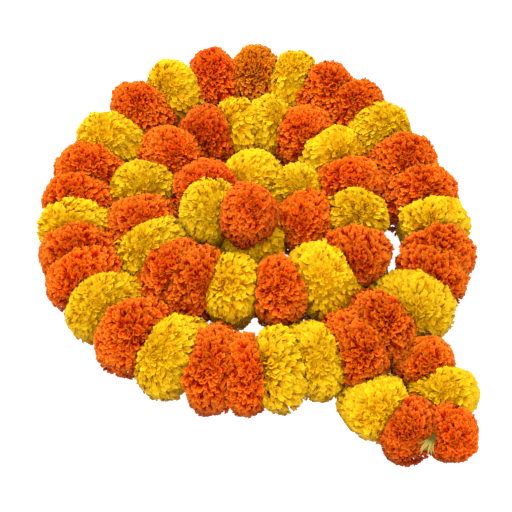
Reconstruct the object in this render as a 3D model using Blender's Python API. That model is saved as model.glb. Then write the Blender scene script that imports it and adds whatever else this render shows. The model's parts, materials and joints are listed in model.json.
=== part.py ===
"""A marigold garland laid in a flat coil, with a short tail of smaller heads.

Every flower head is a pompon of pointed florets, pierced by one cotton string. The garland lies
on z = 0, with its origin under the middle of its outline. Units are metres and +Z is up.
Run it with: blender --background --python part.py
"""

import math
import random

import bmesh
import bpy
from mathutils import Matrix, Vector

MM = 0.001

# The string, its hole through the heads, and the knots at its ends.
STRING_RADIUS = 0.8 * MM
HOLE_RADIUS = 1.5 * MM
STRING_RESOLUTION = 2
HOLE_RESOLUTION = 1
KNOT = ((0.0, 1.2), (1.0 * MM, 2.3), (3.0 * MM, 2.3), (4.0 * MM, 1.0))

# The string's route in mm, seen from above, from its inner end outwards. The inner end lies on
# top of the coil. Each turn of the coil runs clockwise from a bearing in degrees, with its
# distance from the middle at every eighth of a turn. A crossing steps out from each turn.
STRING_HEIGHT = 26
INNER_END = (
    (-33, -33, 22), (-19, -32, 23), (-5, -32, 24), (12, -32, 27), (17, -32, 39), (6, -32, 53),
    (-9, -31, 55), (-23, -28, 51), (-38, -19, 42), (-48, -6, 31), (-46, 9, 27),
)
TURNS = (
    (150, (41, 26, 27, 38)),
    (-65, (91, 85, 91, 92, 83, 89, 85, 84)),
    (-70, (147, 149, 145, 143, 155, 149, 136, 154)),
)
TURN_SAMPLES = 3
CROSSINGS = (
    ((42, -9, 26), (44, -28, 25), (58, -48, 25), (64, -68, 26)),
    ((79, -56, 26), (85, -81, 25), (98, -104, 25), (95, -123, 26), (76, -131, 26)),
    ((114, -91, 26), (112, -114, 24), (123, -140, 22), (134, -162, 22), (141, -190, 22),
     (109, -193, 22), (89, -173, 22), (77, -160, 19), (70, -152, 11)),
)
ROUTE_SAMPLES = 8

# The garland from its inner end. Each run of heads has the radius across the string in mm,
# then each head's colour letter and the string it takes up in mm. A dash is bare string.
RUNS = (
    (28, "-15 Y37 -20"),
    (26.5, "R31"),
    (28, "Y35"),
    (32, "R52"),
    (29.5, "Y52 Y27 O33 -34"),
    (31, "Y37 O36 Y34 O23 O22 Y27 O30 Y38 O51 R32 Y23 Y28 O39 Y33 O37 Y34 O39 -36"),
    (31, "O28 O31"),
    (28, "Y27"),
    (31, "Y27"),
    (29, "O20"),
    (31, "O27 Y35 O34"),
    (29.5, "Y33"),
    (31, "O27 O22 Y26 O29 O32 Y44 O45 Y39 R41 A38 Y34 O35 O33 Y38 O41 O32 Y32 O22 O22 Y43 -15"),
    (22, "O26"),
    (24, "Y29 R35 R31 Y26 -15"),
)
COLOURS = {
    "R": ("orange_red", (0.72, 0.085, 0.008)),
    "O": ("orange", (0.83, 0.155, 0.008)),
    "A": ("amber", (0.62, 0.16, 0.010)),
    "Y": ("yellow", (0.86, 0.50, 0.012)),
}
PETAL_ROUGHNESS = 0.62

# A head is a squashed ball. Its neighbours press it flat, and it sags a little where it rests.
PRESSED_FULLNESS = 0.80
FREE_FULLNESS = 0.93
SAG = 0.25
CLEARANCE = 0.32 * MM

# Florets are pointed, and lean away from the head's face.
FLORET_SITES = 36
FLORET_VALLEY = 0.91
FLORET_VARIATION = 0.035
FLORET_LEAN = 0.10
GOLDEN_ANGLE = math.pi * (3 - math.sqrt(5))
FACE_DIRECTION = Vector((0, -math.cos(math.radians(57)), math.sin(math.radians(57))))
FACE_WANDER = 0.22
SEED = 11

# One cut stalk with its toothed calyx shows between the last heads. The profile has the
# distance along the stalk from its cut end and the radius there, in mm.
STALK_START = Vector((121.0, -197.0, 41.0))
STALK_END = Vector((113.0, -204.0, 31.0))
STALK_PROFILE = ((0, 1.4), (0.8, 1.8), (6, 1.8), (8.5, 2.4), (11, 4.0), (14, 4.6))
STALK_ROOM = 1.4
STALK_RIDGES = 6
STALK_RIDGE_DEPTH = 0.10
TOOTH_LENGTH = 2.6
TOOTH_SPLAY = 1.0
CUP_FLOOR = (12, 2.6)


def clear_scene():
    for obj in list(bpy.data.objects):
        bpy.data.objects.remove(obj, do_unlink=True)


def material(name, colour, roughness):
    mat = bpy.data.materials.new(name)
    mat.use_nodes = True
    shader = mat.node_tree.nodes["Principled BSDF"]
    shader.inputs["Base Color"].default_value = (*colour, 1.0)
    shader.inputs["Roughness"].default_value = roughness
    shader.inputs["Metallic"].default_value = 0.0
    return mat


def add_object(name, data, location, mat):
    obj = bpy.data.objects.new(name, data)
    obj.location = location
    obj.data.materials.append(mat)
    bpy.context.scene.collection.objects.link(obj)
    return obj


def through(a, b, c, d, t):
    """Catmull-Rom value between b and c, for numbers or vectors."""
    return 0.5 * (2 * b + (c - a) * t + (2 * a - 5 * b + 4 * c - d) * t ** 2
                  + (3 * b - a - 3 * c + d) * t ** 3)


def smooth_samples(values, per_span):
    """The values, with smooth values between them."""
    last = len(values) - 1
    samples = []
    for i in range(last):
        before = values[max(i - 1, 0)]
        after = values[min(i + 2, last)]
        for step in range(per_span):
            samples.append(through(before, values[i], values[i + 1], after, step / per_span))
    samples.append(values[last])
    return samples


def turn_points(first_bearing, radii):
    """One turn of the coil, clockwise from its first bearing."""
    points = []
    for i, radius in enumerate(smooth_samples(radii, TURN_SAMPLES)):
        bearing = math.radians(first_bearing) - i * math.pi / (4 * TURN_SAMPLES)
        points.append((radius * math.cos(bearing), radius * math.sin(bearing), STRING_HEIGHT))
    return points


class Route:
    """A smooth path that gives the point at any length along it."""

    def __init__(self, points):
        self.points = smooth_samples(points, ROUTE_SAMPLES)
        self.lengths = [0.0]
        for a, b in zip(self.points, self.points[1:]):
            self.lengths.append(self.lengths[-1] + (b - a).length)

    def at(self, length):
        i = 1
        while self.lengths[i] < length and i < len(self.points) - 1:
            i += 1
        share = (length - self.lengths[i - 1]) / (self.lengths[i] - self.lengths[i - 1])
        return self.points[i - 1].lerp(self.points[i], share)


def string_route():
    points = list(INNER_END)
    for turn, crossing in zip(TURNS, CROSSINGS):
        points += turn_points(*turn)
        points += crossing
    return Route([Vector(point) * MM for point in points])


class Head:
    """One flower head's place: the ends of its stretch of string, its radius and its colour."""

    def __init__(self, colour, radius, start, end):
        self.colour = colour
        self.radius = radius
        self.start = start
        self.end = end
        self.centre = (start + end) / 2
        self.axis = (end - start).normalized()
        self.fullness = max(PRESSED_FULLNESS, (end - start).length / (2 * radius))


def string_up(route):
    """The heads in order along the route, and the lengths where the string bends."""
    heads = []
    bends = [0.0]
    loosens_next = False
    for radius, run in RUNS:
        for item in run.split():
            start = bends[-1]
            end = start + float(item[1:]) * MM
            if item[0] == "-":
                bends.append((start + end) / 2)
                if heads:
                    heads[-1].fullness = FREE_FULLNESS
                loosens_next = True
            else:
                heads.append(Head(item[0], radius * MM, route.at(start), route.at(end)))
                if loosens_next:
                    heads[-1].fullness = FREE_FULLNESS
                loosens_next = False
            bends.append(end)
    return heads, bends


def string_tube(name, route, bends, radius, resolution, mat):
    """A tube along the string's bends, with a swelling for the knot at each end."""
    places = {length: 1.0 for length in bends[1:-1]}
    for offset, size in KNOT:
        places[offset] = size
        places[bends[-1] - offset] = size
    curve = bpy.data.curves.new(name, "CURVE")
    curve.dimensions = "3D"
    curve.bevel_depth = radius
    curve.bevel_resolution = resolution
    curve.use_fill_caps = True
    spline = curve.splines.new("POLY")
    spline.use_smooth = True
    spline.points.add(len(places) - 1)
    for spline_point, length in zip(spline.points, sorted(places)):
        spline_point.co = (*route.at(length), 1)
        spline_point.radius = places[length]
    return add_object(name, curve, (0, 0, 0), mat)


def hole_cutter(route, bends, mat):
    """The string's hole as a mesh, for the heads' Booleans."""
    tube = string_tube("string_hole_path", route, bends, HOLE_RADIUS, HOLE_RESOLUTION, mat)
    graph = bpy.context.evaluated_depsgraph_get()
    mesh = bpy.data.meshes.new_from_object(tube.evaluated_get(graph))
    bpy.data.objects.remove(tube, do_unlink=True)
    cutter = add_object("string_hole", mesh, (0, 0, 0), mat)
    cutter.hide_render = True
    cutter.display_type = "WIRE"
    return cutter


def walls_round(head, heads, stalk_balls):
    """Planes (normal, distance from the head's centre) that keep the head off its neighbours."""
    walls = [(Vector((0, 0, -1)), head.centre.z)]
    for other in heads:
        gap = other.centre - head.centre
        distance = gap.length
        if other is head or distance > (head.radius + other.radius) * (1 + SAG):
            continue
        normal = gap / distance
        if other.start == head.end:
            middle = (head.end - head.centre).dot(normal)
        elif other.end == head.start:
            middle = (head.start - head.centre).dot(normal)
        else:
            middle = (distance ** 2 + head.radius ** 2 - other.radius ** 2) / (2 * distance)
        walls.append((normal, middle - CLEARANCE / 2))
    for centre, radius in stalk_balls:
        gap = centre - head.centre
        walls.append((gap.normalized(), gap.length - radius - CLEARANCE))
    return walls


def floret_sites():
    """Directions spread evenly by the golden angle, as florets grow on a flower head."""
    for i in range(FLORET_SITES):
        height = 1 - (2 * i + 1) / FLORET_SITES
        ring = math.sqrt(1 - height ** 2)
        angle = i * GOLDEN_ANGLE
        yield Vector((ring * math.cos(angle), ring * math.sin(angle), height))


def head_mesh(name, head, walls, rng):
    """A ball of pointed florets that lean away from the face, cut off at the walls."""
    face = FACE_DIRECTION + FACE_WANDER * Vector([rng.uniform(-1, 1) for _ in range(3)])
    spin = Matrix.Rotation(rng.uniform(0, math.tau), 3, "Z")
    turn = face.to_track_quat("Z", "Y").to_matrix() @ spin
    face.normalize()
    bm = bmesh.new()
    for site in floret_sites():
        bm.verts.new(turn @ site)
    bmesh.ops.convex_hull(bm, input=bm.verts[:])
    tips = set(bmesh.ops.poke(bm, faces=bm.faces[:])["verts"])
    for vert in bm.verts:
        direction = vert.co.normalized()
        size = FLORET_VALLEY
        if vert in tips:
            size = 1 + rng.uniform(-FLORET_VARIATION, FLORET_VARIATION)
            lean = face - face.dot(direction) * direction
            direction = (direction - FLORET_LEAN * lean).normalized()
        along = direction.dot(head.axis)
        size *= head.radius / math.sqrt((along / head.fullness) ** 2 + 1 - along ** 2)
        size *= 1 + SAG * min(direction.z, 0) ** 2
        for normal, distance in walls:
            towards = direction.dot(normal)
            if towards > 0:
                size = min(size, distance / towards)
        vert.co = direction * size
    bmesh.ops.recalc_face_normals(bm, faces=bm.faces[:])
    mesh = bpy.data.meshes.new(name)
    bm.to_mesh(mesh)
    bm.free()
    return mesh


def stalk_balls():
    """Balls (centre, radius) along the stalk that the heads keep clear of."""
    along = (STALK_END - STALK_START).normalized()
    balls = []
    for place, radius in STALK_PROFILE:
        balls.append(((STALK_START + along * place) * MM, radius * STALK_ROOM * MM))
    return balls


def stalk_ring(bm, place, radius, swell, lift):
    """A ring of the stalk: swell deepens its ridges and lift moves every other point along."""
    ring = []
    for i in range(2 * STALK_RIDGES):
        angle = i * math.pi / STALK_RIDGES
        ridge = 1 - 2 * (i % 2)
        reach = radius * (1 + swell * ridge)
        ring.append(bm.verts.new((
            reach * math.cos(angle) * MM, reach * math.sin(angle) * MM, (place + lift * ridge) * MM)))
    return ring


def add_stalk(mat):
    """The cut stalk and its calyx, a ridged cup with teeth round its mouth."""
    bm = bmesh.new()
    rings = [stalk_ring(bm, place, radius, STALK_RIDGE_DEPTH, 0) for place, radius in STALK_PROFILE]
    mouth, mouth_radius = STALK_PROFILE[-1]
    half_tooth = TOOTH_LENGTH / 2
    rings.append(stalk_ring(bm, mouth + half_tooth, mouth_radius + TOOTH_SPLAY / 2, 0.12, half_tooth))
    rings.append(stalk_ring(bm, *CUP_FLOOR, 0, 0))
    for ring, following in zip(rings, rings[1:]):
        for i in range(len(ring)):
            j = (i + 1) % len(ring)
            bm.faces.new((ring[i], ring[j], following[j], following[i]))
    bm.faces.new(rings[0])
    bm.faces.new(rings[-1])
    bmesh.ops.triangulate(bm, faces=bm.faces[:])
    bmesh.ops.recalc_face_normals(bm, faces=bm.faces[:])
    mesh = bpy.data.meshes.new("calyx_stalk")
    bm.to_mesh(mesh)
    bm.free()
    mesh.shade_smooth()
    mesh.set_sharp_from_angle(angle=math.radians(50))
    obj = add_object("calyx_stalk", mesh, STALK_START * MM, mat)
    obj.rotation_mode = "QUATERNION"
    obj.rotation_quaternion = (STALK_END - STALK_START).to_track_quat("Z", "Y")


def centre_outline(head_objects):
    """Move everything so that the origin is under the middle of the heads' outline."""
    points = [obj.location + vert.co for obj in head_objects for vert in obj.data.vertices]
    for axis in (0, 1):
        values = [point[axis] for point in points]
        middle = (min(values) + max(values)) / 2
        for obj in bpy.data.objects:
            obj.location[axis] -= middle


def main():
    clear_scene()
    rng = random.Random(SEED)
    petals = {}
    for letter, (name, colour) in COLOURS.items():
        petals[letter] = material("petals_" + name, colour, PETAL_ROUGHNESS)
    cotton = material("cotton", (0.80, 0.74, 0.60), 0.8)
    green = material("calyx_green", (0.30, 0.32, 0.07), 0.6)
    route = string_route()
    heads, bends = string_up(route)
    cutter = hole_cutter(route, bends, cotton)
    balls = stalk_balls()
    head_objects = []
    for number, head in enumerate(heads, 1):
        name = f"head_{number:02d}_{COLOURS[head.colour][0]}"
        mesh = head_mesh(name, head, walls_round(head, heads, balls), rng)
        obj = add_object(name, mesh, head.centre, petals[head.colour])
        hole = obj.modifiers.new("String hole", "BOOLEAN")
        hole.operation = "DIFFERENCE"
        hole.solver = "EXACT"
        hole.object = cutter
        head_objects.append(obj)
    string_tube("string", route, bends, STRING_RADIUS, STRING_RESOLUTION, cotton)
    add_stalk(green)
    centre_outline(head_objects)


main()
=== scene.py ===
"""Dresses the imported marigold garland: ruffled flower heads, cotton string, calyx stalk and stage."""

import json
import math
import random

import bmesh
import bpy
from bpy.props import FloatProperty, FloatVectorProperty, IntProperty, PointerProperty
from bpy.types import Operator, Panel, PropertyGroup
from mathutils import Euler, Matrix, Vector


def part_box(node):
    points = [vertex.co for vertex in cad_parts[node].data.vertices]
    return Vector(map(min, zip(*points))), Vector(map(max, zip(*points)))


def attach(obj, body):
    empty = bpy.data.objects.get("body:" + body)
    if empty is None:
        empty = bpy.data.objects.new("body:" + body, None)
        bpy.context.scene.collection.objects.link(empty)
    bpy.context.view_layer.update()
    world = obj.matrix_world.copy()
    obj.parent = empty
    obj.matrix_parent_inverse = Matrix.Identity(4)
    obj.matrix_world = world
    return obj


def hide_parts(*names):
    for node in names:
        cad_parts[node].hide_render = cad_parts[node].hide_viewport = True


bl_info = {
    "name": "Marigold Garland",
    "version": (1, 0, 0),
    "blender": (4, 5, 0),
    "location": "3D View > Sidebar > Garland",
    "description": "Dresses a coiled marigold garland with ruffled florets",
    "category": "Object",
}

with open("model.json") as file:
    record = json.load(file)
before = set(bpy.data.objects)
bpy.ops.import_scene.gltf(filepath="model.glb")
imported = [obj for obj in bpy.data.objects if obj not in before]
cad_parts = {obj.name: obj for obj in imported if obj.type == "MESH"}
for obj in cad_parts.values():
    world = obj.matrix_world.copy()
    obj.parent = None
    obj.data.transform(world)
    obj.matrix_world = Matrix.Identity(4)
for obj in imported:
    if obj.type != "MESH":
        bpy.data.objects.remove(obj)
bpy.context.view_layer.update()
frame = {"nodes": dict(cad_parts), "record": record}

# The heads by the colour of their petals, and the parts of a petal that have a colour each.
HEAD_COLOURS = {
    "petals_yellow": "yellow",
    "petals_orange": "orange",
    "petals_orange_red": "red",
    "petals_amber": "amber",
}
PETAL_PARTS = ("deep", "tip", "edge", "under")
SLOT_OF_NODE = {part["node"]: part["material_slot"] for part in frame["record"]["subparts"]}

# A node's name holds its head's number here.
HEAD_NUMBER = slice(5, 7)
# Heads beside the two gaps where the floor shows stay slim: how far, as a share of the fill.
OPEN_HEADS = {"09", "10", "23", "24", "28", "29", "50", "51", "52"}
OPENING = 0.6
OPEN_CORE = 0.85
# The heads that the calyx stalk stands between keep more of their florets there.
STALK_HEADS = {"56", "57"}

# The coil's middle, and how far from it its inner turns reach.
COIL_MIDDLE = Vector((-0.0015, 0.0130, 0))
INNER_TURNS = 0.12
# A head whose lowest point is higher than this lies on other heads.
RESTING = 0.003
# Florets are left out where the head is pressed nearer its middle than this share of its height.
SHORTEST = 0.62
SHORTEST_BY_STALK = 0.45
# They are left out below this too: 1 is straight down, 0 is level.
LOWEST_INSIDE = 0.80
LOWEST_OUTSIDE = 0.64

HEADS_SEED = 5
SEEDS_A_HEAD = 20
HEAD_SHADES = (0.92, 1.06)
CALYX_SEED = 3

GOLDEN_ANGLE = math.pi * (3 - math.sqrt(5))
UP = (0, 0, 1)
DOWN = (0, 0, -1)
# The least X, Y and Z that a floret may have: only Z is held, just above the floor.
ABOVE_FLOOR = (-1, -1, 0.0002)
WHITE = (1, 1, 1, 1)
FLOOR_REACH = 3
CLIP_START = 0.01


# Settings


def colour_setting(name, description, default):
    return FloatVectorProperty(
        name=name, description=description, default=default, subtype="COLOR", size=3, min=0, max=1)


def place_setting(name, description, default):
    return FloatVectorProperty(
        name=name, description=description, default=default, subtype="TRANSLATION", unit="LENGTH")


def size_setting(name, description, default):
    return FloatProperty(name=name, description=description, default=default, unit="LENGTH", min=0)


def share_setting(name, description, default):
    return FloatProperty(name=name, description=description, default=default, min=0, max=4)


def angle_setting(name, description, default):
    return FloatProperty(
        name=name, description=description, default=math.radians(default), subtype="ANGLE")


class GarlandHeadSettings(PropertyGroup):
    """Sizes of the florets on every head."""

    florets_yellow: IntProperty(
        name="Yellow florets", description="Florets on a whole yellow head, hidden ones included",
        default=1200, min=50, max=3000)
    florets_orange: IntProperty(
        name="Orange florets", description="Florets on any other whole head, hidden ones included",
        default=1450, min=50, max=3000)
    length: size_setting("Floret length", "From a floret's base to its tip", 0.0062)
    width: size_setting("Floret width", "Width of a floret's edge, unrolled", 0.0053)
    bend: share_setting("Bend", "How far a floret's tip bends back, as a share of its length", 0.25)
    ruffle_yellow: share_setting("Yellow ruffle", "How strongly yellow florets' edges wave", 0.30)
    ruffle_orange: share_setting("Orange ruffle", "How strongly the other florets' edges wave", 0.50)
    curl_yellow: share_setting("Yellow curl", "How tightly the yellow florets roll up", 0.85)
    curl_orange: share_setting("Orange curl", "How tightly the other florets roll up", 1.15)
    spin_yellow: angle_setting("Yellow spin", "How far yellow florets turn about themselves", 25)
    spin_orange: angle_setting("Orange spin", "How far the other florets turn", 40)
    proud: size_setting("Proud", "How far florets stand above the head's solid", 0.0007)
    fill: size_setting("Fill", "How much further they reach into gaps between turns", 0.0074)
    core_yellow: share_setting("Yellow core", "Dense middle of a yellow head, as a share of it", 0.93)
    core_orange: share_setting("Orange core", "Dense middle of the other heads", 0.84)
    crowding: share_setting("Crowding", "Above 1, florets crowd towards the face's middle", 1.05)
    lean_face: angle_setting("Lean at the face", "How far florets lean out in the face's middle", 3)
    lean_yellow: angle_setting("Yellow lean", "How far yellow florets lean round the middle", 38)
    lean_orange: angle_setting("Orange lean", "How far the other florets lean there", 15)
    lean_back: angle_setting("Lean at the back", "How far florets lean behind the face", 13)
    face_tilt: angle_setting("Face tilt", "How far the faces look up from level", 57)
    face_wander: share_setting("Face wander", "How differently the faces look about", 0.45)


class GarlandCalyxSettings(PropertyGroup):
    """Place and sizes of the loose calyx with its cut stem."""

    foot: place_setting("Cut end", "Middle of the stem's cut end", (0.1164, -0.1840, 0.0410))
    mouth: place_setting("Mouth", "Middle of the bell's mouth", (0.1120, -0.1898, 0.0325))
    bracts: IntProperty(
        name="Bracts", description="Loose bracts round the bell", default=15, min=1, max=60)
    stem_radius: size_setting("Stem radius", "Radius of the stem", 0.0017)
    mouth_radius: size_setting("Mouth radius", "Radius of the bell's mouth", 0.0034)
    flare: size_setting("Flare", "How far the bracts' tips stand out", 0.0022)
    bract_width: size_setting("Bract width", "Half the width of a bract", 0.0008)


class GarlandColourSettings(PropertyGroup):
    """Colours of the petals from their base to their edge, and of the other pieces."""

    # The base colours are partly the florets' own deeper base and partly painted shade of the folds
    # deep in the head.
    yellow_deep: colour_setting("Yellow base", "Base of the yellow petals", (0.88, 0.47, 0.002))
    yellow_tip: colour_setting("Yellow tip", "Tip of the yellow petals", (0.95, 0.61, 0.003))
    yellow_edge: colour_setting("Yellow edge", "Edge of the yellow petals", (0.96, 0.63, 0.012))
    # Each foot colour is painted shade, taken by the lowest petals and the core under a head.
    yellow_under: colour_setting("Yellow foot", "Underside of a yellow head", (0.58, 0.19, 0.001))
    orange_deep: colour_setting("Orange base", "Base of the orange petals", (0.72, 0.012, 0.001))
    orange_tip: colour_setting("Orange tip", "Tip of the orange petals", (0.98, 0.165, 0.003))
    orange_edge: colour_setting("Orange edge", "Edge of the orange petals", (0.98, 0.34, 0.015))
    orange_under: colour_setting("Orange foot", "Underside of an orange head", (0.46, 0.014, 0.001))
    red_deep: colour_setting("Red base", "Base of the orange-red petals", (0.64, 0.009, 0.001))
    red_tip: colour_setting("Red tip", "Tip of the orange-red petals", (0.97, 0.13, 0.003))
    red_edge: colour_setting("Red edge", "Edge of the orange-red petals", (0.97, 0.30, 0.015))
    red_under: colour_setting("Red foot", "Underside of an orange-red head", (0.40, 0.009, 0.001))
    amber_deep: colour_setting("Amber base", "Base of the amber petals", (0.50, 0.03, 0.001))
    amber_tip: colour_setting("Amber tip", "Tip of the amber petals", (0.86, 0.26, 0.004))
    amber_edge: colour_setting("Amber edge", "Edge of the amber petals", (0.88, 0.38, 0.010))
    amber_under: colour_setting("Amber foot", "Underside of an amber head", (0.42, 0.04, 0.001))
    # The stalk's dark olive is partly the stem's own green and partly painted shade between the two
    # heads.
    stalk: colour_setting("Stalk", "Olive of the cut stem", (0.10, 0.085, 0.004))
    calyx: colour_setting("Calyx", "Pale green of the bracts", (0.62, 0.44, 0.09))
    cotton: colour_setting("Cotton", "Colour of the string", (0.80, 0.72, 0.55))
    floor: colour_setting("Floor", "Colour of the floor", (0.5, 0.5, 0.5))


class GarlandStageSettings(PropertyGroup):
    """The camera, the lights and the floor's glow."""

    camera_place: place_setting("Camera place", "Where the camera stands", (0.0015, -0.3150, 0.4536))
    camera_tilt: angle_setting("Camera tilt", "How far the camera looks down from level", 57)
    lens: FloatProperty(name="Lens", description="Focal length in mm", default=45.7)
    key_place: place_setting("Key place", "Where the key light hangs", (-0.25, 0.35, 0.9))
    key_size: size_setting("Key size", "Side of the key light", 0.9)
    key_power: FloatProperty(name="Key light", description="Power of the key light in W", default=8)
    fill_place: place_setting("Fill place", "Where the fill light hangs", (0.5, -0.7, 0.5))
    fill_size: size_setting("Fill size", "Side of the fill light", 0.8)
    fill_power: FloatProperty(name="Fill light", description="Power of the fill in W", default=1.5)
    sky: FloatProperty(name="Sky", description="Strength of the even light", default=0.84)
    glow: FloatProperty(name="Glow", description="Strength of the floor's own light", default=1.0)


# Objects


def link(name, data):
    obj = bpy.data.objects.new(name, data)
    bpy.context.scene.collection.objects.link(obj)
    return obj


def make_plain(obj):
    """Turn the object's evaluated mesh into its own mesh and drop its modifiers."""
    graph = bpy.context.evaluated_depsgraph_get()
    mesh = bpy.data.meshes.new_from_object(obj.evaluated_get(graph))
    obj.modifiers.clear()
    obj.data = mesh


# Node trees


class Wire:
    """A node's output that can be used in sums.

    Each operator adds a Math node, or a Vector Math node where the first wire is a vector, so a
    vector comes before a number's wire in a product.
    """

    def __init__(self, graph, socket):
        self.graph = graph
        self.socket = socket

    def is_vector(self):
        return self.socket.type == "VECTOR"

    def joined(self, operation, other, reflected=False):
        pair = {0: other, 1: self} if reflected else {0: self, 1: other}
        kind = "ShaderNodeVectorMath" if self.is_vector() else "ShaderNodeMath"
        return self.graph.add(kind, {"operation": operation}, pair)[0]

    def __add__(self, other):
        return self.joined("ADD", other)

    __radd__ = __add__

    def __sub__(self, other):
        return self.joined("SUBTRACT", other)

    def __rsub__(self, other):
        return self.joined("SUBTRACT", other, reflected=True)

    def __mul__(self, other):
        other_is_vector = isinstance(other, Wire) and other.is_vector()
        if self.is_vector() and not other_is_vector:
            return self.graph.scaled(self, other)
        return self.joined("MULTIPLY", other)

    __rmul__ = __mul__

    def __truediv__(self, other):
        return self.joined("DIVIDE", other)

    def __pow__(self, other):
        return self.joined("POWER", other)

    def __gt__(self, other):
        return self.joined("GREATER_THAN", other)

    def __lt__(self, other):
        return self.joined("LESS_THAN", other)


class Outputs:
    """A new node's outputs, by name or number, each as a Wire."""

    def __init__(self, graph, node):
        self.graph = graph
        self.node = node

    def __getitem__(self, key):
        found = [s for s in self.node.outputs if s.enabled]
        if isinstance(key, str):
            found = [s for s in found if s.name == key]
            key = 0
        return Wire(self.graph, found[key])


class Graph:
    """Adds nodes to one tree."""

    def __init__(self, tree):
        self.tree = tree

    def add(self, kind, settings=None, sockets=None):
        """A node of this kind, with its settings set first and then its sockets' values or links."""
        node = self.tree.nodes.new(kind)
        for name, value in (settings or {}).items():
            setattr(node, name, value)
        for key, value in (sockets or {}).items():
            socket = self.input_of(node, key)
            for one in value if isinstance(value, list) else [value]:
                if isinstance(one, Wire):
                    self.tree.links.new(one.socket, socket)
                else:
                    socket.default_value = one
        return Outputs(self, node)

    @staticmethod
    def input_of(node, key):
        """A node's input by number, or by name among those that its settings leave in use."""
        if isinstance(key, int):
            return node.inputs[key]
        return next(s for s in node.inputs if s.name == key and s.enabled)

    def maths(self, operation, value, other=0.0):
        return self.add("ShaderNodeMath", {"operation": operation}, {0: value, 1: other})[0]

    def vector(self, operation, value, other=(0, 0, 0)):
        return self.add("ShaderNodeVectorMath", {"operation": operation}, {0: value, 1: other})[0]

    def dot(self, a, b):
        return self.add("ShaderNodeVectorMath", {"operation": "DOT_PRODUCT"}, {0: a, 1: b})["Value"]

    def scaled(self, value, factor):
        """A vector or a colour, times a number."""
        return self.add("ShaderNodeVectorMath", {"operation": "SCALE"}, {0: value, 3: factor})[0]

    def turned(self, a, b, angle):
        """The direction a, turned by this angle towards b, which is square to it."""
        return a * self.maths("COSINE", angle) + b * self.maths("SINE", angle)

    def between(self, a, b, share):
        """The colour or number a share of the way from a to b."""
        is_colour = isinstance(a, tuple) or isinstance(a, Wire) and a.socket.type == "RGBA"
        kind = "RGBA" if is_colour else "FLOAT"
        return self.add("ShaderNodeMix", {"data_type": kind}, {"Factor": share, "A": a, "B": b})[0]

    def spread(self, low, high, share, start=0.0, end=1.0):
        """A smooth change from start to end as share goes from low to high."""
        return self.add(
            "ShaderNodeMapRange", {"interpolation_type": "SMOOTHSTEP"},
            {"Value": share, "From Min": low, "From Max": high, "To Min": start, "To Max": end})[0]

    def parts(self, vector):
        return self.add("ShaderNodeSeparateXYZ", None, {0: vector})

    def attribute(self, name):
        return self.add("ShaderNodeAttribute", {"attribute_name": name})["Fac"]

    def noise(self, scale, **sockets):
        """A cloudy pattern on the piece, from 0 to 1, this fine."""
        place = self.add("ShaderNodeTexCoord")["Object"]
        return self.add("ShaderNodeTexNoise", None, {"Vector": place, "Scale": scale, **sockets})["Fac"]

    def bump(self, height, strength, distance):
        return self.add(
            "ShaderNodeBump", None,
            {"Strength": strength, "Distance": distance, "Height": height})["Normal"]


# Geometry Nodes trees


class PieceTree:
    """A Geometry Nodes tree with named inputs. It ends in real geometry with one material."""

    NAME = ""
    INPUTS = {}

    def __init__(self):
        self.tree = bpy.data.node_groups.new(self.NAME, "GeometryNodeTree")
        self.graph = Graph(self.tree)
        interface = self.tree.interface
        interface.new_socket("Solid", in_out="INPUT", socket_type="NodeSocketGeometry")
        self.identifiers = {}
        for name, (kind, default) in self.INPUTS.items():
            socket = interface.new_socket(name, in_out="INPUT", socket_type=kind)
            if default is not None:
                socket.default_value = default
            self.identifiers[name] = socket.identifier
        interface.new_socket("Piece", in_out="OUTPUT", socket_type="NodeSocketGeometry")
        self.given = self.graph.add("NodeGroupInput")
        smooth = self.graph.add("GeometryNodeSetShadeSmooth", None, {0: self.real(self.geometry())})[0]
        painted = self.graph.add(
            "GeometryNodeSetMaterial", None,
            {"Geometry": smooth, "Material": self.given["Finish"]})[0]
        self.graph.add("NodeGroupOutput", None, {0: painted})

    def random(self, low, high, salt):
        """A number for each repeat, the same in every run, and another for each salt."""
        seed = self.given["Seed"] + salt
        return self.graph.add(
            "FunctionNodeRandomValue", {"data_type": "FLOAT"},
            {"Min": low, "Max": high, "Seed": seed})["Value"]

    def capture(self, geometry, **values):
        """The geometry with the values kept on its points, and the kept values."""
        node = self.graph.add("GeometryNodeCaptureAttribute").node
        kinds = {"VECTOR": "VECTOR", "VALUE": "FLOAT"}
        for name, wire in values.items():
            node.capture_items.new(kinds[wire.socket.type], name)
        kept = []
        for i, wire in enumerate([geometry, *values.values()]):
            self.tree.links.new(wire.socket, node.inputs[i])
            kept.append(Wire(self.graph, node.outputs[i]))
        return kept

    def place(self):
        return self.graph.add("GeometryNodeInputPosition")[0]

    def real(self, instances):
        return self.graph.add("GeometryNodeRealizeInstances", None, {0: instances})[0]

    def repeated(self, points, **sockets):
        """An instance on each point, made real."""
        return self.real(self.graph.add(
            "GeometryNodeInstanceOnPoints", None, {"Points": points, **sockets})[0])

    def joined(self, *geometries):
        return self.graph.add("GeometryNodeJoinGeometry", None, {0: list(geometries)})[0]

    def moved(self, geometry, place):
        return self.graph.add(
            "GeometryNodeSetPosition", None, {"Geometry": geometry, "Position": place})[0]

    def above_floor(self, place):
        return self.graph.vector("MAXIMUM", place, ABOVE_FLOOR)

    def store(self, geometry, **values):
        """The geometry with these values as named attributes, for its material."""
        for name, value in values.items():
            geometry = self.graph.add(
                "GeometryNodeStoreNamedAttribute", {"data_type": "FLOAT", "domain": "POINT"},
                {"Geometry": geometry, "Name": name, "Value": value})[0]
        return geometry

    def grow(self, piece, values):
        """Run this tree on the piece with these input values and keep the result as its mesh."""
        modifier = piece.modifiers.new(self.NAME, "NODES")
        modifier.node_group = self.tree
        for name, value in values.items():
            modifier[self.identifiers[name]] = value
        make_plain(piece)


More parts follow.
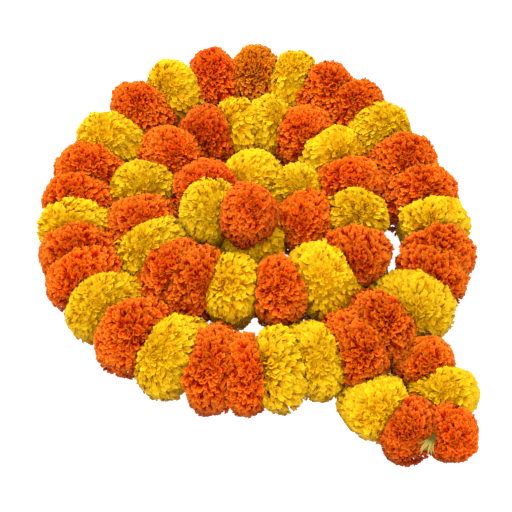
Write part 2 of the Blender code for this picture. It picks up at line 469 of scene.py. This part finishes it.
class FloretTree(PieceTree):
    """Covers a head's solid with ruffled florets round a dense core."""

    NAME = "Marigold florets"
    ROWS = 3
    COLUMNS = 5
    RAY = 0.1

    # Heights on the line from the head's back at -1 to its face at 1: where the florets change
    # from those of the face to those round the middle, and from those to the back's.
    FACE_TO_MIDDLE = (1.0, 0.6)
    MIDDLE_TO_BACK = (0.4, -0.1)
    SPUN_TO_STEADY = (1.0, 0.2)
    WHOLE_TO_SMALL = (0.5, -0.1)
    # Heights above level, from 1 to -1: where the head is filled out, and where painted shade darkens
    # it.
    FILLED_FROM_TO = (0.5, -0.2)
    FOOT_SHADE_FROM_TO = (0.35, -0.75)
    # How far down, from 0 at level to 1, the florets grow alike.
    CALM_FROM_TO = (-0.1, 0.6)
    # How far florets differ from each other, as angles in radians, shares and metres.
    PLACE_WANDER = 0.25
    LEAN_WANDER = 0.16
    FACE_SPIN = 2.2
    SIZES = (0.82, 1.16)
    BACK_SIZE = 0.85
    PROUD_WANDER = 0.0009
    FACE_CURLS = (0.8, 1.6)
    ROUND_CURLS = (1.1, 1.7)
    # How much less they differ, and how much smaller they are, where the head looks down.
    CALMER_SPIN = 0.6
    CALMER_SIZE = 0.2
    CALMER_PROUD = 0.75
    # How much further they stand off where the solid turns away, as at its shoulders, and where
    # that starts and ends: 0 is square to them and 1 is edge on.
    SHOULDER_PROUD = 0.0022
    SHOULDER_FROM_TO = (0.1, 0.5)
    # How much lower they go on the side that faces the gap beside the head's turn.
    LOWER_BESIDE = 0.27
    # A floret's outline: its width at the base, and how that grows towards the rim and eases.
    BASE_WIDTH = 0.45
    WIDENING = 0.75
    WIDTH_EASE = 0.2
    # The rim's waves across the floret, how round its corners are and how deep its notches.
    WAVES = 5.6
    ROUND_CORNERS = 0.7
    NOTCHES = 0.17

    INPUTS = {
        "Florets": ("NodeSocketInt", 500),
        "Seed": ("NodeSocketInt", 0),
        "Middle": ("NodeSocketVector", (0, 0, 0)),
        "Face": ("NodeSocketVector", UP),
        "Length": ("NodeSocketFloat", 0.012),
        "Width": ("NodeSocketFloat", 0.006),
        "Ruffle": ("NodeSocketFloat", 0.3),
        "Curl": ("NodeSocketFloat", 1.0),
        "Spin": ("NodeSocketFloat", 0.5),
        "Bend": ("NodeSocketFloat", 0.3),
        "Proud": ("NodeSocketFloat", 0.001),
        "Fill": ("NodeSocketFloat", 0.0),
        "Fill side": ("NodeSocketVector", (0, 0, 0)),
        "Core": ("NodeSocketFloat", 0.6),
        "Lowest": ("NodeSocketFloat", 0.8),
        "Shortest": ("NodeSocketFloat", 0.02),
        "Crowding": ("NodeSocketFloat", 1.2),
        "Lean at face": ("NodeSocketFloat", 0.2),
        "Lean between": ("NodeSocketFloat", 0.5),
        "Lean at back": ("NodeSocketFloat", 0.2),
        "Shade": ("NodeSocketFloat", 1.0),
        "Finish": ("NodeSocketMaterial", None),
    }

    def geometry(self):
        hull = self.graph.add("GeometryNodeConvexHull", None, {0: self.given["Solid"]})[0]
        head = self.joined(self.florets(hull), self.core(hull))
        return self.store(head, shade=self.given["Shade"])

    def core(self, hull):
        """The hull, shrunk to the dense middle of the head, and swollen where a gap is filled."""
        graph = self.graph
        middle = self.given["Middle"]
        from_middle = self.place() - middle
        radial = graph.vector("NORMALIZE", from_middle)
        swollen = radial * graph.maths("MAXIMUM", self.filled(radial), 0)
        place = middle + from_middle * self.given["Core"] + swollen
        # low carries the painted shade under the head to the material.
        return self.store(self.moved(hull, self.above_floor(place)), low=self.foot_shading(radial))

    def beside(self, radial):
        """How squarely a direction points at the gap beside the head's turn, from 0 to 1."""
        return self.graph.maths("MAXIMUM", self.graph.dot(radial, self.given["Fill side"]), 0)

    def filled(self, radial):
        """How much further the head reaches this way into the gap beside its turn."""
        low = self.graph.spread(*self.FILLED_FROM_TO, self.graph.dot(radial, UP))
        return self.beside(radial) * low * self.given["Fill"]

    def foot_shading(self, radial):
        """How much painted shade a direction takes, from 0 on the upper half of the head to 1
        underneath.
        """
        return self.graph.spread(*self.FOOT_SHADE_FROM_TO, self.graph.dot(radial, UP))

    def directions(self):
        """Directions spread by the golden angle from the face's middle.

        How near the face's middle each is, from 1 to -1 behind it, the direction itself, and the
        one square to it that leads away from the face.
        """
        graph = self.graph
        given = self.given
        index = graph.add("GeometryNodeInputIndex")[0]
        share = (index + 0.5) / given["Florets"]
        height = 1 - 2 * share ** given["Crowding"]
        ring = graph.maths("SQRT", 1 - height * height)
        angle = index * GOLDEN_ANGLE + self.random(-self.PLACE_WANDER, self.PLACE_WANDER, 1)
        face = given["Face"]
        east = graph.vector("NORMALIZE", graph.vector("CROSS_PRODUCT", face, (1, 0, 0)))
        north = graph.vector("CROSS_PRODUCT", face, east)
        outward = graph.turned(east, north, angle)
        return height, face * height + outward * ring, outward * height - face * ring

    def reach(self, hull, radial):
        """How far the hull reaches in a direction, and how far its surface turns away from it."""
        graph = self.graph
        hit = graph.add(
            "GeometryNodeRaycast", {"data_type": "FLOAT"},
            {"Target Geometry": hull, "Source Position": self.given["Middle"] + radial * self.RAY,
             "Ray Direction": radial * -1, "Ray Length": self.RAY})
        return self.RAY - hit["Hit Distance"], 1 - graph.dot(hit["Hit Normal"], radial)

    def stance(self, height, radial, away, steady, calm):
        """The directions along a floret, across it and out of its front."""
        graph = self.graph
        given = self.given
        round_middle = graph.spread(*self.FACE_TO_MIDDLE, height)
        at_back = graph.spread(*self.MIDDLE_TO_BACK, height)
        lean = graph.between(given["Lean at face"], given["Lean between"], round_middle)
        lean = graph.between(lean, given["Lean at back"], at_back)
        lean = lean + self.random(-self.LEAN_WANDER, self.LEAN_WANDER, 2)
        spin = graph.between(self.FACE_SPIN, given["Spin"], steady)
        twist = self.random(-1, 1, 3) * spin * (1 - calm * self.CALMER_SPIN)
        along = graph.turned(radial, away, lean)
        facing = radial * graph.maths("SINE", lean) - away * graph.maths("COSINE", lean)
        across = graph.vector("CROSS_PRODUCT", along, facing)
        front = facing * graph.maths("COSINE", twist) - across * graph.maths("SINE", twist)
        return along, graph.turned(across, facing, twist), front

    def florets(self, hull):
        """A floret in each direction, left out where the head is pressed or underneath."""
        graph = self.graph
        given = self.given
        height, radial, away = self.directions()
        reach, slope = self.reach(hull, radial)
        down = graph.dot(radial, DOWN)
        calm = graph.spread(*self.CALM_FROM_TO, down)
        steady = graph.spread(*self.SPUN_TO_STEADY, height)
        along, across, front = self.stance(height, radial, away, steady, calm)
        size = graph.spread(*self.WHOLE_TO_SMALL, height, 1.0, self.BACK_SIZE)
        size = size * self.random(*self.SIZES, 4) * (1 - calm * self.CALMER_SIZE)
        wander = self.random(-self.PROUD_WANDER, self.PROUD_WANDER, 5)
        proud = given["Proud"] + wander * (1 - calm * self.CALMER_PROUD) + self.filled(radial)
        proud = proud + graph.spread(*self.SHOULDER_FROM_TO, slope, 0.0, self.SHOULDER_PROUD)
        curl = graph.between(
            self.random(*self.FACE_CURLS, 7), self.random(*self.ROUND_CURLS, 9), steady)

        points = graph.add("GeometryNodePoints", None, {"Count": given["Florets"]})[0]
        kept = self.capture(
            points, tip=given["Middle"] + radial * (reach + proud), along=along, across=across,
            front=front, size=size, phase=self.random(0, math.tau, 6), curl=curl * given["Curl"],
            tone=self.random(0, 1, 8), reach=reach, down=down - self.LOWER_BESIDE * self.beside(radial),
            low=self.foot_shading(radial))
        points, tip, along, across, front, size, phase, curl, tone, reach, down, low = kept
        shown = (reach > given["Shortest"]) * (down < given["Lowest"])

        sheet = graph.add(
            "GeometryNodeMeshGrid", None,
            {"Size X": 2.0, "Size Y": 1.0, "Vertices X": self.COLUMNS, "Vertices Y": self.ROWS})[0]
        sheet, place = self.capture(sheet, place=self.place())
        florets = self.repeated(points, Selection=shown, Instance=sheet)
        u = graph.parts(place)["X"]
        v = graph.parts(place)["Y"] + 0.5
        sideways, forward, upward = self.petal(u, v, size, curl, phase)
        florets = self.moved(florets, tip + across * sideways + front * forward + along * upward)
        florets = self.moved(florets, self.above_floor(self.place()))
        # low carries the painted shade under the head to the material.
        return self.store(florets, along=v, tone=tone, low=low)

    def petal(self, u, v, size, curl, phase):
        """A rolled petal with a waved rim: u runs across it from -1 to 1, v up it from 0 to 1."""
        graph = self.graph
        width = self.given["Width"] * 0.5 * size
        length = self.given["Length"] * size
        lobes = graph.maths("COSINE", u * self.WAVES + phase)
        flare = self.BASE_WIDTH + self.WIDENING * v - self.WIDTH_EASE * v * v
        bow = width / curl * flare * (1 + self.given["Ruffle"] * v * v * lobes)
        bearing = u * curl
        sideways = bow * graph.maths("SINE", bearing)
        backward = length * self.given["Bend"] * (1 - v * v)
        forward = bow * (1 - graph.maths("COSINE", bearing)) + backward
        rim = u * u * u * u * self.ROUND_CORNERS - lobes * self.NOTCHES
        return sideways, forward, length * (v - 1) - width * v * v * rim


class CalyxTree(PieceTree):
    """A ribbed bell that widens from a cut stem, with loose bracts round its mouth."""

    NAME = "Calyx"
    BODY_SIDES = 30
    BODY_SEGMENTS = 14
    BRACT_SIDES = 6
    BRACT_SEGMENTS = 7
    # The share of the tube's segments outside the bell. The rest line the hollow of its mouth.
    RIM = 0.8
    THROAT = 0.8
    THROAT_DEPTH = 0.35
    RIBS = 10
    RIB_HEIGHT = 0.09
    # Where the stem widens into the bell, as shares of the whole.
    WIDENS_FROM_TO = (0.2, 1.0)
    # How far a bract stands off the bell, narrows to its tip, and how thick it is for its width.
    BRACT_OFFSET = 1.03
    BRACT_TAPER = 0.65
    BRACT_THICKNESS = 0.5
    # Where the bracts start and end, as shares of the bell's length, and how they differ.
    STARTS = (0.2, 0.5)
    ENDS = (0.95, 1.3)
    BEARING_WANDER = 0.2
    SWAY = 0.5
    FLARES = (0.2, 1.2)
    TONES = (0.35, 1)

    INPUTS = {
        "Seed": ("NodeSocketInt", 0),
        "Bracts": ("NodeSocketInt", 15),
        "Foot": ("NodeSocketVector", (0, 0, 0)),
        "Axis": ("NodeSocketVector", UP),
        "Side": ("NodeSocketVector", (1, 0, 0)),
        "Other side": ("NodeSocketVector", (0, 1, 0)),
        "Length": ("NodeSocketFloat", 0.012),
        "Stem": ("NodeSocketFloat", 0.0017),
        "Mouth": ("NodeSocketFloat", 0.0034),
        "Flare": ("NodeSocketFloat", 0.002),
        "Bract width": ("NodeSocketFloat", 0.0008),
        "Finish": ("NodeSocketMaterial", None),
    }

    def geometry(self):
        return self.joined(self.body(), self.bracts())

    def tube(self, sides, segments):
        """A closed tube of unit size along Z, and the coordinates on it, which survive a move."""
        tube = self.graph.add(
            "GeometryNodeMeshCylinder", {"fill_type": "TRIANGLE_FAN"},
            {"Vertices": sides, "Side Segments": segments, "Radius": 1.0, "Depth": 1.0})[0]
        tube, place = self.capture(tube, place=self.place())
        return tube, self.graph.parts(place)

    def radius(self, share):
        """The bell's radius this share of the way from stem to mouth."""
        return self.graph.spread(
            *self.WIDENS_FROM_TO, share, self.given["Stem"], self.given["Mouth"])

    def about_axis(self, share, out, around, bearing):
        """A place this share of the way from stem to mouth, out and around from the axis."""
        graph = self.graph
        given = self.given
        radial = graph.turned(given["Side"], given["Other side"], bearing)
        tangent = (
            given["Other side"] * graph.maths("COSINE", bearing)
            - given["Side"] * graph.maths("SINE", bearing))
        along = given["Axis"] * (given["Length"] * share)
        return given["Foot"] + along + radial * out + tangent * around

    def body(self):
        graph = self.graph
        tube, parts = self.tube(self.BODY_SIDES, self.BODY_SEGMENTS)
        v = parts["Z"] + 0.5
        outer = graph.maths("MINIMUM", v / self.RIM, 1.0)
        inner = graph.maths("MAXIMUM", (v - self.RIM) / (1 - self.RIM), 0.0)
        bearing = graph.maths("ARCTAN2", parts["Y"], parts["X"])
        from_axis = graph.maths("SQRT", parts["X"] * parts["X"] + parts["Y"] * parts["Y"])
        ribs = 1 + graph.maths("COSINE", bearing * self.RIBS) * self.RIB_HEIGHT * outer
        out = self.radius(outer) * ribs * (1 - inner * self.THROAT) * from_axis
        share = outer - inner * self.THROAT_DEPTH
        tube = self.moved(tube, self.about_axis(share, out, 0.0, bearing))
        return self.store(tube, tone=0.0, along=share)

    def bracts(self):
        graph = self.graph
        given = self.given
        index = graph.add("GeometryNodeInputIndex")[0]
        points = graph.add("GeometryNodePoints", None, {"Count": given["Bracts"]})[0]
        wander = self.random(-self.BEARING_WANDER, self.BEARING_WANDER, 1)
        kept = self.capture(
            points, bearing=index * GOLDEN_ANGLE + wander, start=self.random(*self.STARTS, 2),
            end=self.random(*self.ENDS, 3), sway=self.random(-self.SWAY, self.SWAY, 4),
            flare=self.random(*self.FLARES, 5), tone=self.random(*self.TONES, 6))
        points, bearing, start, end, sway, flare, tone = kept
        tube, parts = self.tube(self.BRACT_SIDES, self.BRACT_SEGMENTS)
        bracts = self.repeated(points, Instance=tube)
        v = parts["Z"] + 0.5
        share = start + (end - start) * v
        width = given["Bract width"] * (1 - v * v * self.BRACT_TAPER)
        out = self.radius(share) * self.BRACT_OFFSET + given["Flare"] * flare * v * v * v
        out = out + parts["X"] * width * self.BRACT_THICKNESS
        place = self.about_axis(share, out, parts["Y"] * width, bearing + sway * v * v)
        return self.store(self.moved(bracts, place), tone=tone, along=share)


# Materials

# How fine each pattern is, in waves a metre.
PETAL_STREAKS = 420.0
PETAL_CURLS = 190.0
COTTON_FIBRES = 1400.0
CALYX_MOTTLE = 700.0
# A fold lies where the pattern of curls is nearer its middle value than these.
FOLD_FROM_TO = (0.09, 0.01)
# Less far along a petal than this is the core, which has no such measure.
CORE_ENDS = 0.01
# How fast a petal grows lighter along its length.
LIGHTENING = 1.1
# How light the core is, as if this far along a petal, and how much lighter on its folds: the darker
# core is partly painted shade of the head's inside.
CORE_LIGHT = 0.55
FOLD_LIGHT = 0.3
# Where along a petal the base's colour gives way to the tip's, and the tip's to the edge's. The base's
# colour is partly the florets' own and partly painted shade of the folds.
BASE_TO_TIP = (0.25, 1.0)
TIP_TO_EDGE = (0.82, 1.0)
EDGE_SHARE = 0.75
STREAK_SHARE = 0.3
# How much of the painted shade colour of the underside a head's lowest petals take, and how much darker
# painted shade makes them.
FOOT_SHADE_SHARE = 0.75
UNDER_SHADE = 0.52
# The least brightness of a petal, and how much brighter others are.
TONE_LEAST = 0.86
TONE_MORE = 0.28
# Where along the calyx its dark stem, partly painted shade between the two heads, turns pale, and how
# far its mottle shifts that.
STEM_TO_PALE = (0.15, 0.75)
MOTTLE_SHARE = 0.3
# The least paleness of a piece of the calyx, and how much paler the bracts are.
PALE_LEAST = 0.35
PALE_MORE = 0.65
# How bright the cotton is between its fibres.
BETWEEN_FIBRES = 0.6


def new_material(name):
    """A material with an empty tree and its graph."""
    mat = bpy.data.materials.new(name)
    mat.use_nodes = True
    mat.node_tree.nodes.clear()
    return mat, Graph(mat.node_tree)


def finish_material(graph, specular, sockets):
    sockets = {"Specular IOR Level": specular, **sockets}
    shader = graph.add("ShaderNodeBsdfPrincipled", None, sockets)["BSDF"]
    graph.add("ShaderNodeOutputMaterial", None, {"Surface": shader})


def rgba(colour):
    return (*colour, 1.0)


def petal_material(name, deep, tip, edge, under):
    """Thin petals, darker towards their base and light along their edges, each a little different. The
    darker base is partly the florets' own colour and partly painted shade of the folds.

    The core has no petals, so folds drawn on it stand in for those deep inside the head; its darker
    colour, like a petal's base, is partly painted shade.
    """
    mat, graph = new_material(name)
    along = graph.attribute("along")
    low = graph.attribute("low")
    streaks = graph.noise(PETAL_STREAKS, Detail=2.0)
    curls = graph.noise(PETAL_CURLS, Detail=1.0, Distortion=1.2)
    folds = graph.spread(*FOLD_FROM_TO, graph.maths("ABSOLUTE", curls - 0.5))
    on_core = along < CORE_ENDS
    core_light = on_core * (CORE_LIGHT + FOLD_LIGHT * folds)
    light = graph.maths("MAXIMUM", along * LIGHTENING, core_light)
    light = graph.spread(*BASE_TO_TIP, light + (streaks - 0.5) * STREAK_SHARE)
    # Painted shade, partly the florets' own colour: the base's colour darkens the petals towards their
    # base and the core.
    colour = graph.between(rgba(deep), rgba(tip), light)
    colour = graph.between(colour, rgba(edge), graph.spread(*TIP_TO_EDGE, along) * EDGE_SHARE)
    # Painted shade under each head: its lowest petals and core take the foot's darker colour.
    colour = graph.between(colour, rgba(under), low * FOOT_SHADE_SHARE)
    tone = TONE_LEAST + TONE_MORE * graph.attribute("tone")
    colour = graph.scaled(colour, tone * graph.attribute("shade") * (1 - low * UNDER_SHADE))
    finish_material(graph, 0.08, {
        "Base Color": colour,
        "Roughness": 0.5 + 0.2 * streaks,
        "Normal": graph.bump(streaks * 0.2 + folds * on_core, strength=0.6, distance=0.0012),
    })
    return mat


def cotton_material(colour):
    """Fine pale fibres, darker between them."""
    mat, graph = new_material("cotton")
    fibres = graph.noise(COTTON_FIBRES)
    finish_material(graph, 0.2, {
        "Base Color": graph.between(
            rgba([c * BETWEEN_FIBRES for c in colour]), rgba(colour), fibres),
        "Roughness": 0.85,
        "Normal": graph.bump(fibres, strength=0.6, distance=0.0003),
    })
    return mat


def calyx_material(stalk, calyx):
    """Dark where the stem is cut, partly the stem's own olive and partly painted shade, paler towards
    the mouth, with light bracts.
    """
    mat, graph = new_material("calyx green")
    mottle = graph.noise(CALYX_MOTTLE)
    along = graph.attribute("along") + (mottle - 0.5) * MOTTLE_SHARE
    paleness = graph.spread(*STEM_TO_PALE, along)
    paleness = paleness * (PALE_LEAST + PALE_MORE * graph.attribute("tone"))
    finish_material(graph, 0.15, {
        "Base Color": graph.between(rgba(stalk), rgba(calyx), paleness),
        "Roughness": 0.6,
        "Normal": graph.bump(mottle, strength=0.3, distance=0.0003),
    })
    return mat


def floor_material(colour, glow):
    """A plain floor that glows white, so that nothing throws a shadow on it."""
    mat, graph = new_material("floor")
    finish_material(graph, 0.2, {
        "Base Color": rgba(colour),
        "Roughness": 0.7,
        "Emission Color": WHITE,
        "Emission Strength": glow,
    })
    return mat


# Pieces


class GARLAND_OT_heads(Operator):
    """Cover every flower head's solid with ruffled florets"""

    bl_idname = "garland.heads"
    bl_label = "Flower heads"

    def execute(self, context):
        sizes = context.scene.garland_heads
        petals = self.petals(context.scene.garland_colours)
        tree = FloretTree()
        rng = random.Random(HEADS_SEED)
        nodes = sorted(node for node, slot in SLOT_OF_NODE.items() if slot in HEAD_COLOURS)
        for number, node in enumerate(nodes):
            piece = link(node.replace("head_", "pompon_"), frame["nodes"][node].data.copy())
            values = {
                "Seed": number * SEEDS_A_HEAD, "Face": self.face(sizes, rng),
                **self.place_values(node, sizes), **self.floret_values(node, sizes),
                "Shade": rng.uniform(*HEAD_SHADES), "Finish": petals[SLOT_OF_NODE[node]],
            }
            tree.grow(piece, values)
            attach(piece, "root")
            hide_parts(node)
        return {"FINISHED"}

    def petals(self, colours):
        """The petals' material for each slot."""
        return {
            slot: petal_material(
                f"{hue} petals", *[getattr(colours, f"{hue}_{part}") for part in PETAL_PARTS])
            for slot, hue in HEAD_COLOURS.items()}

    def face(self, sizes, rng):
        """The way a head's face looks, a little different for each."""
        look = Vector((0, -math.cos(sizes.face_tilt), math.sin(sizes.face_tilt)))
        wander = Vector([rng.uniform(-1, 1) for _ in range(3)])
        return (look + wander * sizes.face_wander).normalized()

    def place_values(self, node, sizes):
        """Where the head is, how far its florets go, and how it fills the gap beside its turn."""
        low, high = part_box(node)
        middle = (low + high) / 2
        inward = COIL_MIDDLE - middle
        inward.z = 0
        outer = inward.length > INNER_TURNS
        fill = sizes.fill
        if node[HEAD_NUMBER] in OPEN_HEADS:
            fill = -sizes.fill * OPENING
        if low.z > RESTING:
            fill = 0
        shortest = SHORTEST_BY_STALK if node[HEAD_NUMBER] in STALK_HEADS else SHORTEST
        return {
            "Middle": middle, "Fill": fill,
            "Fill side": inward.normalized() if outer else -inward.normalized(),
            "Lowest": LOWEST_OUTSIDE if outer else LOWEST_INSIDE,
            "Shortest": (high.z - low.z) / 2 * shortest,
        }

    def floret_values(self, node, sizes):
        """What the florets of the head's colour are like. All but the yellow ones are alike."""
        kind = "yellow" if HEAD_COLOURS[SLOT_OF_NODE[node]] == "yellow" else "orange"
        core = getattr(sizes, f"core_{kind}")
        if node[HEAD_NUMBER] in OPEN_HEADS:
            core = min(core, OPEN_CORE)
        return {
            "Florets": getattr(sizes, f"florets_{kind}"), "Core": core,
            "Length": sizes.length, "Width": sizes.width, "Bend": sizes.bend,
            "Ruffle": getattr(sizes, f"ruffle_{kind}"), "Curl": getattr(sizes, f"curl_{kind}"),
            "Spin": getattr(sizes, f"spin_{kind}"), "Proud": sizes.proud,
            "Crowding": sizes.crowding, "Lean at face": sizes.lean_face,
            "Lean between": getattr(sizes, f"lean_{kind}"), "Lean at back": sizes.lean_back,
        }


class GARLAND_OT_string(Operator):
    """Give the string its cotton finish"""

    bl_idname = "garland.string"
    bl_label = "String"

    def execute(self, context):
        string = frame["nodes"]["string"]
        string.data.materials.clear()
        string.data.materials.append(cotton_material(context.scene.garland_colours.cotton))
        return {"FINISHED"}


class GARLAND_OT_stalk(Operator):
    """Grow the calyx with its cut stem and its loose bracts"""

    bl_idname = "garland.stalk"
    bl_label = "Calyx stalk"

    def execute(self, context):
        sizes = context.scene.garland_calyx
        colours = context.scene.garland_colours
        node = "calyx_stalk"
        foot = Vector(sizes.foot)
        axis = Vector(sizes.mouth) - foot
        length = axis.length
        axis.normalize()
        side = axis.orthogonal().normalized()
        piece = link("calyx", frame["nodes"][node].data.copy())
        values = {
            "Seed": CALYX_SEED, "Bracts": sizes.bracts, "Foot": foot, "Axis": axis, "Side": side,
            "Other side": axis.cross(side), "Length": length, "Stem": sizes.stem_radius,
            "Mouth": sizes.mouth_radius, "Flare": sizes.flare, "Bract width": sizes.bract_width,
            "Finish": calyx_material(colours.stalk, colours.calyx),
        }
        CalyxTree().grow(piece, values)
        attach(piece, "root")
        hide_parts(node)
        return {"FINISHED"}


class GARLAND_OT_stage(Operator):
    """Lay the pale floor and set up the lights and the camera"""

    bl_idname = "garland.stage"
    bl_label = "Stage"

    def execute(self, context):
        stage = context.scene.garland_stage
        floor = self.floor(context.scene.garland_colours.floor, stage.glow)
        self.lamp("key", stage.key_power, stage.key_size, stage.key_place)
        self.lamp("fill", stage.fill_power, stage.fill_size, stage.fill_place)
        self.sky(context, stage)
        self.camera(context, stage)
        return {"FINISHED"}

    def floor(self, colour, glow):
        mesh = bpy.data.meshes.new("floor")
        bm = bmesh.new()
        bmesh.ops.create_grid(bm, x_segments=1, y_segments=1, size=FLOOR_REACH)
        bm.to_mesh(mesh)
        bm.free()
        mesh.materials.append(floor_material(colour, glow))
        return link("floor", mesh)

    def lamp(self, name, power, size, place):
        """A square light at this place that looks at the middle of the floor."""
        light = bpy.data.lights.new(name, "AREA")
        light.energy = power
        light.size = size
        obj = link(name, light)
        obj.location = place
        obj.rotation_euler = (-Vector(place)).to_track_quat("-Z", "Y").to_euler()

    def sky(self, context, stage):
        world = bpy.data.worlds.new("studio")
        world.use_nodes = True
        light = world.node_tree.nodes["Background"].inputs
        light["Color"].default_value = WHITE
        light["Strength"].default_value = stage.sky
        context.scene.world = world
        context.scene.view_settings.view_transform = "Standard"

    def camera(self, context, stage):
        camera = bpy.data.cameras.new("camera")
        camera.lens = stage.lens
        camera.clip_start = CLIP_START
        obj = link("camera", camera)
        obj.location = stage.camera_place
        obj.rotation_euler = Euler((math.pi / 2 - stage.camera_tilt, 0, 0))
        context.scene.camera = obj


class GARLAND_PT_panel(Panel):
    """The garland's pieces and their settings"""

    bl_idname = "GARLAND_PT_panel"
    bl_label = "Marigold Garland"
    bl_space_type = "VIEW_3D"
    bl_region_type = "UI"
    bl_category = "Garland"

    def draw(self, context):
        for operator in OPERATORS:
            self.layout.operator(operator.bl_idname)
        for group in SETTINGS:
            box = self.layout.box()
            for name in SETTINGS[group].__annotations__:
                box.prop(getattr(context.scene, group), name)


SETTINGS = {
    "garland_heads": GarlandHeadSettings,
    "garland_calyx": GarlandCalyxSettings,
    "garland_colours": GarlandColourSettings,
    "garland_stage": GarlandStageSettings,
}
OPERATORS = (GARLAND_OT_heads, GARLAND_OT_string, GARLAND_OT_stalk, GARLAND_OT_stage)
CLASSES = (*SETTINGS.values(), *OPERATORS, GARLAND_PT_panel)


def register():
    for cls in CLASSES:
        bpy.utils.register_class(cls)
    for group, cls in SETTINGS.items():
        setattr(bpy.types.Scene, group, PointerProperty(type=cls))


def unregister():
    for group in SETTINGS:
        delattr(bpy.types.Scene, group)
    for cls in reversed(CLASSES):
        bpy.utils.unregister_class(cls)


def main():
    register()
    bpy.ops.garland.heads()
    bpy.ops.garland.string()
    bpy.ops.garland.stalk()
    bpy.ops.garland.stage()


if __name__ == "__main__":
    main()
